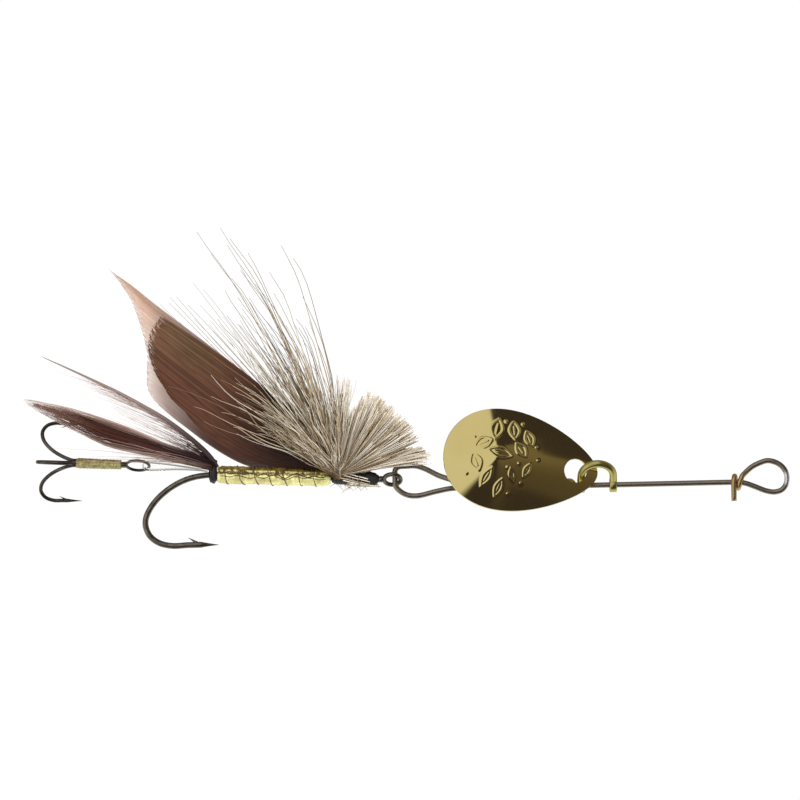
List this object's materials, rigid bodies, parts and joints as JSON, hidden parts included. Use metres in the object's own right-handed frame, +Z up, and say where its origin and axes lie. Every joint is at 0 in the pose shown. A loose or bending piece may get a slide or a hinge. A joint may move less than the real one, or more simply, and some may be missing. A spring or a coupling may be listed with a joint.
{
  "type": "inline spinner",
  "caption": "Fishing lure: a dished blade spins on a wire shaft in front of a feather-and-hair dressed single hook that trails a treble stinger.",
  "frame": {"origin": "on the shaft axis at the middle of the line eye, where the line pulls", "axes": "+Z up along the shaft towards the line, -X the side the dressing stands on, +X the side of the hook point, -Y the side of the shaft the blade rests on"},
  "size_m": [0.0312, 0.0071, 0.0762],
  "materials": {
    "shaft_wire": "bright drawn stainless wire, tarnished",
    "bearing_bead": "polished",
    "weight_body": "polished, turned",
    "clevis": "polished",
    "blade": "gold plated, polished",
    "fly_hook": "bronzed",
    "tinsel_body": "metallic gold tinsel",
    "body_rib": "dark waxed thread",
    "tail_butt_thread": "dark thread",
    "tail_feather_lower": "matt feather barbs",
    "tail_feather_upper": "matt feather barbs",
    "wing_feather_near": "matt feather barbs",
    "wing_feather_far": "matt feather barbs",
    "hair_wing": "hair",
    "hair_head": "trimmed hair",
    "hair_tie_thread": "dark thread",
    "head_thread": "varnished dark thread",
    "stinger_leader": "clear monofilament",
    "treble_hook": "bronzed",
    "treble_tinsel": "metallic olive-gold tinsel"
  },
  "bodies": {
    "shaft": {"shaft_wire": "shaft_wire"},
    "bead": {"bearing_bead": "bearing_bead"},
    "clevis": {"clevis": "clevis"},
    "blade": {"blade": "blade"},
    "weight": {"weight_body": "weight_body"},
    "fly": {"fly_hook": "fly_hook", "tinsel_body": "tinsel_body", "body_rib": "body_rib", "tail_butt_thread": "tail_butt_thread", "tail_feather_lower": "tail_feather_lower", "tail_feather_upper": "tail_feather_upper", "wing_feather_near": "wing_feather_near", "wing_feather_far": "wing_feather_far", "hair_wing": "hair_wing", "hair_head": "hair_head", "hair_tie_thread": "hair_tie_thread", "head_thread": "head_thread"},
    "leader": {"stinger_leader": "stinger_leader"},
    "treble": {"treble_hook": "treble_hook", "treble_tinsel": "treble_tinsel"}
  },
  "joints": [
    {"name": "bead_slide", "type": "slide", "parent": "shaft", "child": "bead", "axis": [0, 0, 1], "range_m": [0, 0.0112]},
    {"name": "clevis_spin", "type": "hinge", "parent": "bead", "child": "clevis", "pos_m": [0, 0, -0.0192], "axis": [0, 0, 1], "continuous": true},
    {"name": "blade_swing", "type": "hinge", "parent": "clevis", "child": "blade", "pos_m": [-0.00093, -0.00078, -0.01745], "axis": [-0.6428, 0.766, 0], "range_deg": [-3, 60]},
    {"name": "body_spin", "type": "hinge", "parent": "shaft", "child": "weight", "pos_m": [0, 0, -0.025], "axis": [0, 0, 1], "continuous": true},
    {"name": "fly_swing", "type": "hinge", "parent": "shaft", "child": "fly", "pos_m": [-0.001, 0, -0.0376], "axis": [1, 0, 0], "range_deg": [-60, 60]},
    {"name": "leader_sway", "type": "hinge", "parent": "fly", "child": "leader", "pos_m": [-0.00228, 0.00024, -0.05622], "axis": [0.9988, 0, -0.0497], "range_deg": [-6, 30]},
    {"name": "treble_swing", "type": "hinge", "parent": "leader", "child": "treble", "pos_m": [-0.00288, 0, -0.06212], "axis": [0, -1, 0], "range_deg": [-3, 38]}
  ]
}
